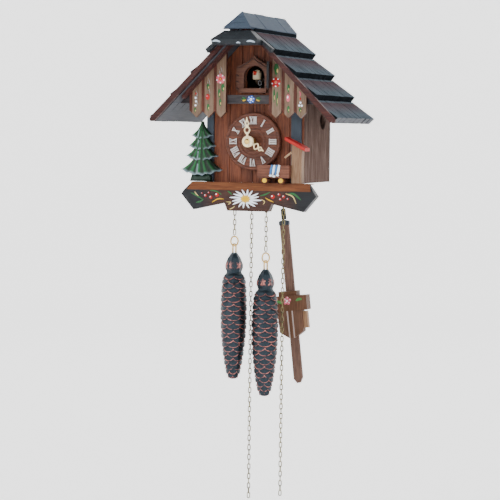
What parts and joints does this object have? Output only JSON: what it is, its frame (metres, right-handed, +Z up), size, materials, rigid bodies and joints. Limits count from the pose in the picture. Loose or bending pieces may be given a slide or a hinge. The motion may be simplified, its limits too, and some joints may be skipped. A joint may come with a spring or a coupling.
{
  "type": "cuckoo clock",
  "caption": "Chain-driven cuckoo clock with a carved and painted chalet case, pendulum and pine-cone weights, made to hang on a wall.",
  "frame": {"origin": "on the rear face of the back cover, which meets the wall, straight behind the hand arbor", "axes": "+X to the right as seen from the front, +Y into the wall, +Z up"},
  "size_m": [0.2004, 0.1536, 0.5003],
  "materials": {
    "stained_wood": "satin stain",
    "dark_wood": "satin stain",
    "red_stain": "satin stain",
    "slate_paint": "painted",
    "pale_wood": "satin",
    "charcoal_paint": "painted",
    "dial_wood": "satin stain",
    "tree_paint": "painted",
    "trough_wood": "satin",
    "red_paint": "painted",
    "black_paint": "painted",
    "bird_paint": "painted",
    "rod_wood": "satin stain",
    "bellows_wood": "plain",
    "bone_plastic": "satin",
    "brass": "bright",
    "chain_metal": "tarnished",
    "steel": "bright",
    "cast_iron": "bronzed"
  },
  "bodies": {
    "case": {"case_front": "stained_wood", "case_side_left": "dark_wood", "case_side_right": "dark_wood", "case_floor": "dark_wood", "back_cover": "dark_wood", "wall_hanger": "steel", "roof_left": "slate_paint", "roof_right": "slate_paint", "ridge_cap": "slate_paint", "front_hip": "charcoal_paint", "bargeboard_left": "red_stain", "bargeboard_right": "red_stain", "gable_board": "red_stain", "slat_1": "pale_wood", "slat_2": "pale_wood", "slat_3": "pale_wood", "slat_4": "pale_wood", "slat_5": "pale_wood", "slat_6": "pale_wood", "cross_beam": "charcoal_paint", "base_board": "charcoal_paint", "window_frame": "pale_wood", "dial": "dial_wood", "fir_tree": "tree_paint", "trough": "trough_wood", "fountain_post": "trough_wood", "fountain_roof": "red_paint", "fountain_spout": "pale_wood", "plate_front": "brass", "plate_back": "brass", "bellows_left": "bellows_wood", "bellows_right": "bellows_wood", "gong": "steel"},
    "minute": {"minute_hand": "bone_plastic", "hand_nut": "brass", "cannon_pinion": "brass"},
    "minute_wheel": {"minute_wheel": "brass"},
    "hour": {"hour_hand": "bone_plastic", "hour_wheel": "brass"},
    "going_weight": {"weight_left": "cast_iron", "weight_ring_left": "brass", "chain_left_loaded": "chain_metal"},
    "going_free_chain": {"chain_left_free": "chain_metal"},
    "going_chain_wheel": {"going_chain_wheel": "brass"},
    "centre_wheel": {"centre_wheel": "brass"},
    "escape_wheel": {"escape_wheel": "brass"},
    "strike_weight": {"weight_right": "cast_iron", "weight_ring_right": "brass", "chain_right_loaded": "chain_metal"},
    "strike_free_chain": {"chain_right_free": "chain_metal"},
    "strike_chain_wheel": {"strike_chain_wheel": "brass"},
    "pendulum": {"pendulum_rod": "rod_wood", "pendulum_bob": "rod_wood"},
    "anchor": {"anchor": "steel"},
    "cuckoo": {"cuckoo_bird": "bird_paint", "bird_arm": "steel"},
    "door": {"cuckoo_door": "black_paint"},
    "bellows_lid_left": {"bellows_lid_left": "bellows_wood"},
    "bellows_lid_right": {"bellows_lid_right": "bellows_wood"},
    "strike_hammer": {"strike_hammer": "steel"}
  },
  "joints": [
    {"name": "minute_turn", "type": "hinge", "parent": "case", "child": "minute", "pos_m": [0, -0.1, 0], "axis": [0, 1, 0], "continuous": true},
    {"name": "minute_wheel_turn", "type": "hinge", "parent": "case", "child": "minute_wheel", "pos_m": [-0.01128, -0.082, -0.0041], "axis": [0, 1, 0], "continuous": true},
    {"name": "hour_turn", "type": "hinge", "parent": "case", "child": "hour", "pos_m": [0, -0.1, 0], "axis": [0, 1, 0], "continuous": true},
    {"name": "going_weight_drop", "type": "slide", "parent": "case", "child": "going_weight", "axis": [0, 0, 1], "range_m": [-0.05, 0.02]},
    {"name": "going_free_chain_rise", "type": "slide", "parent": "case", "child": "going_free_chain", "axis": [0, 0, 1], "range_m": [-0.02, 0.05]},
    {"name": "going_chain_wheel_turn", "type": "hinge", "parent": "case", "child": "going_chain_wheel", "pos_m": [-0.0173, -0.07, -0.02], "axis": [0, 1, 0], "range_deg": [-306.89, 123.06]},
    {"name": "centre_wheel_turn", "type": "hinge", "parent": "case", "child": "centre_wheel", "pos_m": [0, -0.066, 0], "axis": [0, 1, 0], "range_deg": [-163.91, 409.03]},
    {"name": "escape_wheel_turn", "type": "hinge", "parent": "case", "child": "escape_wheel", "pos_m": [0, -0.054, 0.019], "axis": [0, 1, 0], "range_deg": [-1634.6, 654.14]},
    {"name": "strike_weight_drop", "type": "slide", "parent": "case", "child": "strike_weight", "axis": [0, 0, 1], "range_m": [-0.05, 0.02]},
    {"name": "strike_free_chain_rise", "type": "slide", "parent": "case", "child": "strike_free_chain", "axis": [0, 0, 1], "range_m": [-0.02, 0.05]},
    {"name": "strike_chain_wheel_turn", "type": "hinge", "parent": "case", "child": "strike_chain_wheel", "pos_m": [0.0173, -0.07, -0.02], "axis": [0, 1, 0], "range_deg": [-123.06, 306.89]},
    {"name": "pendulum_swing", "type": "hinge", "parent": "case", "child": "pendulum", "pos_m": [-0.00516, -0.0179, 0.036], "axis": [0, 1, 0], "range_deg": [0, 12.6]},
    {"name": "anchor_rock", "type": "hinge", "parent": "case", "child": "anchor", "pos_m": [-0.00516, -0.054, 0.036], "axis": [0, 1, 0], "range_deg": [-0.2, 12.8]},
    {"name": "cuckoo_swing", "type": "hinge", "parent": "case", "child": "cuckoo", "pos_m": [-0.026, -0.066, 0.0525], "axis": [0, 0, 1], "range_deg": [0, 26]},
    {"name": "door_swing", "type": "hinge", "parent": "case", "child": "door", "pos_m": [0.017, -0.096, 0.068], "axis": [0, 0, 1], "range_deg": [-106.2, 0.2]},
    {"name": "bellows_left_lift", "type": "hinge", "parent": "case", "child": "bellows_lid_left", "pos_m": [-0.043, -0.032, 0.0466], "axis": [-1, 0, 0], "range_deg": [0, 8]},
    {"name": "bellows_right_lift", "type": "hinge", "parent": "case", "child": "bellows_lid_right", "pos_m": [0.043, -0.032, 0.0466], "axis": [-1, 0, 0], "range_deg": [0, 8]},
    {"name": "hammer_swing", "type": "hinge", "parent": "case", "child": "strike_hammer", "pos_m": [0.0295, -0.03, -0.014], "axis": [0, 1, 0], "range_deg": [0, 20]}
  ],
  "couplings": [
    {"joint": "minute_wheel_turn", "follows": "minute_turn", "ratio": -0.33333},
    {"joint": "hour_turn", "follows": "minute_turn", "ratio": 0.083333},
    {"joint": "going_free_chain_rise", "follows": "going_weight_drop", "ratio": -1},
    {"joint": "going_chain_wheel_turn", "follows": "going_weight_drop", "rad_per_m": 106.95},
    {"joint": "centre_wheel_turn", "follows": "going_weight_drop", "rad_per_m": -142.6},
    {"joint": "escape_wheel_turn", "follows": "going_weight_drop", "rad_per_m": 570.41},
    {"joint": "strike_free_chain_rise", "follows": "strike_weight_drop", "ratio": -1},
    {"joint": "strike_chain_wheel_turn", "follows": "strike_weight_drop", "rad_per_m": -106.95},
    {"joint": "anchor_rock", "follows": "pendulum_swing", "ratio": 1},
    {"joint": "door_swing", "follows": "cuckoo_swing", "ratio": -4.0769}
  ]
}
